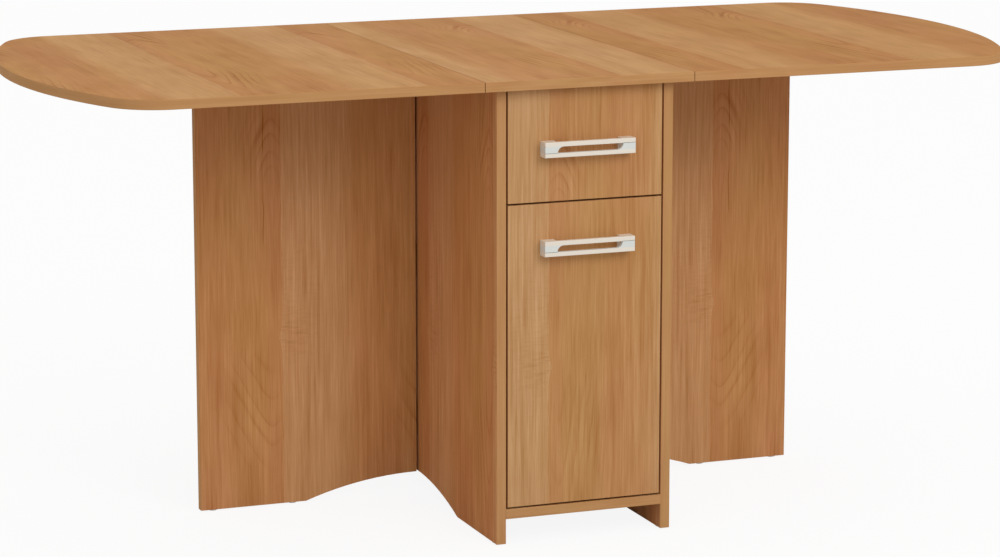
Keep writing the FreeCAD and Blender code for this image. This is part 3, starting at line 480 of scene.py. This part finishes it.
dress(metal("zinc_small", (186, 187, 184), rough=0.38, mottle=0.12, grit=700),
      "shelf_pins", "cam_locks", "cam_bolts", "top_brackets", "drawer_cam_locks", "drawer_cam_bolts",
      "drawer_handle_screws", "door_handle_screws")
dress(metal("yellow_zinc", (190, 160, 98), rough=0.42, mottle=0.16, grit=800),
      "cabinet_screws", "drawer_screws", "door_screws", "gate_screws_left", "gate_screws_right",
      "leaf_screws_left", "leaf_screws_right")


def beech():
    """Pale pinkish wood with fine streaks and short darker rays."""
    made, shader, place = material("beech")
    u, v = place.axis("Y") + place.axis("Z") * 0.6, place.axis("X")
    streak = cloud(u, v, 2.0, 900, 30, 2.0)
    rays = patches(u, v, 7.7, 1500, 220, 8, -1.8)
    tint = patches(u, v, 3.0, 200, 12, 1.0, 0.5, 2.0)
    tone = 1.0 + streak * 0.14 - rays * 0.12
    feed(shader, "Base Color", tint.blend(srgb(214, 178, 134), srgb(200, 158, 114)).shaded(tone))
    feed(shader, "Roughness", 0.60 + streak * 0.1)
    bump(shader, streak, 0.0001)
    return made


dress(beech(), "dowels")


# ---------------------------------------------------------------- glides and gate stops
# Nail-in glides of white polyethylene under the boards' feet, and a brown moulded block under each leaf for
# its gate to run against.

dress(coated("white_polyethylene", (232, 230, 223), rough=0.50, speck=0.06, texture=0.00006),
      "cabinet_glides", "gate_glides_left", "gate_glides_right")
dress(coated("brown_plastic", (98, 66, 44), rough=0.46, speck=0.14, texture=0.00008),
      "gate_stop_left", "gate_stop_right")


# ---------------------------------------------------------------- studio
# A plain white floor that runs on out of sight, an even white sky, and one large soft lamp in front of the
# table and above it. The floor and the sky look whiter than the light that they give the table.

def seen_white(tree):
    """A wire that is 1 for what the camera sees, straight, in gloss or through glass, and 0 for light."""
    start = Wire(tree)
    straight, in_gloss, through_glass = (start.node("LightPath", output=f"Is {kind} Ray")
                                         for kind in ("Camera", "Glossy", "Transmission"))
    return (straight + in_gloss + through_glass).clipped()


floor_half = 40.0
floor_mesh = bpy.data.meshes.new("floor")
floor_mesh.from_pydata([(-floor_half, -floor_half, 0), (floor_half, -floor_half, 0),
                        (floor_half, floor_half, 0), (-floor_half, floor_half, 0)], [], [(0, 1, 2, 3)])
floor = bpy.data.objects.new("floor", floor_mesh)
bpy.context.scene.collection.objects.link(floor)

floor_paint = bpy.data.materials.new("floor_white")
floor_paint.use_nodes = True
tree = floor_paint.node_tree
glow_share = 0.90
seen = seen_white(tree)
bounce = seen.node("BsdfDiffuse", {}, {"Color": srgb(203, 201, 198)})
shadowed = seen.node("BsdfDiffuse", {}, {"Color": srgb(244, 243, 241)})
glow = seen.node("Emission", {}, {"Color": (1, 1, 1, 1), "Strength": 1.0})
look = seen.node("MixShader", {}, {0: glow_share, 1: shadowed, 2: glow})
surface = seen.node("MixShader", {}, {0: seen, 1: bounce, 2: look})
tree.links.new(surface.socket, tree.nodes["Material Output"].inputs["Surface"])
floor_mesh.materials.append(floor_paint)

world = bpy.data.worlds.new("studio")
world.use_nodes = True
bpy.context.scene.world = world
sky = world.node_tree.nodes["Background"]
sky.inputs["Color"].default_value = (1, 1, 1, 1)
sky_light = 0.82
feed(sky, "Strength", seen_white(world.node_tree).pick(sky_light, 1.0))

lamp = bpy.data.lights.new("key", "AREA")
lamp.shape = "DISK"
lamp.size = 3.0
lamp.energy = 88.0      # watts
lamp_place = (1.2, -4.7, 3.45)
lamp_aim = (0.0, 0.0, 0.45)
along_x, along_y, up = (aim - place for aim, place in zip(lamp_aim, lamp_place))
key = bpy.data.objects.new("key", lamp)
key.location = lamp_place
key.rotation_euler = (math.atan2(math.hypot(along_x, along_y), -up), 0.0, math.atan2(-along_x, along_y))
bpy.context.scene.collection.objects.link(key)


# ---------------------------------------------------------------- camera
# A long lens at a standing person's eye height, well to the left in front of the table. It is turned to the
# right towards the cabinet and tilted down, so that the whole top shows.

bpy.context.scene.view_settings.view_transform = "Standard"
lens = bpy.data.cameras.new("camera")
lens.lens = 126.14
lens.sensor_width = 36.0
lens.clip_end = 200.0
tilt_down = 0.1959
turn_right = 0.3650
camera = bpy.data.objects.new("camera", lens)
camera.location = (-2.0729, -5.4248, 1.5071)
camera.rotation_euler = (math.radians(90) - tilt_down, 0.0, -turn_right)
bpy.context.scene.collection.objects.link(camera)
bpy.context.scene.camera = camera
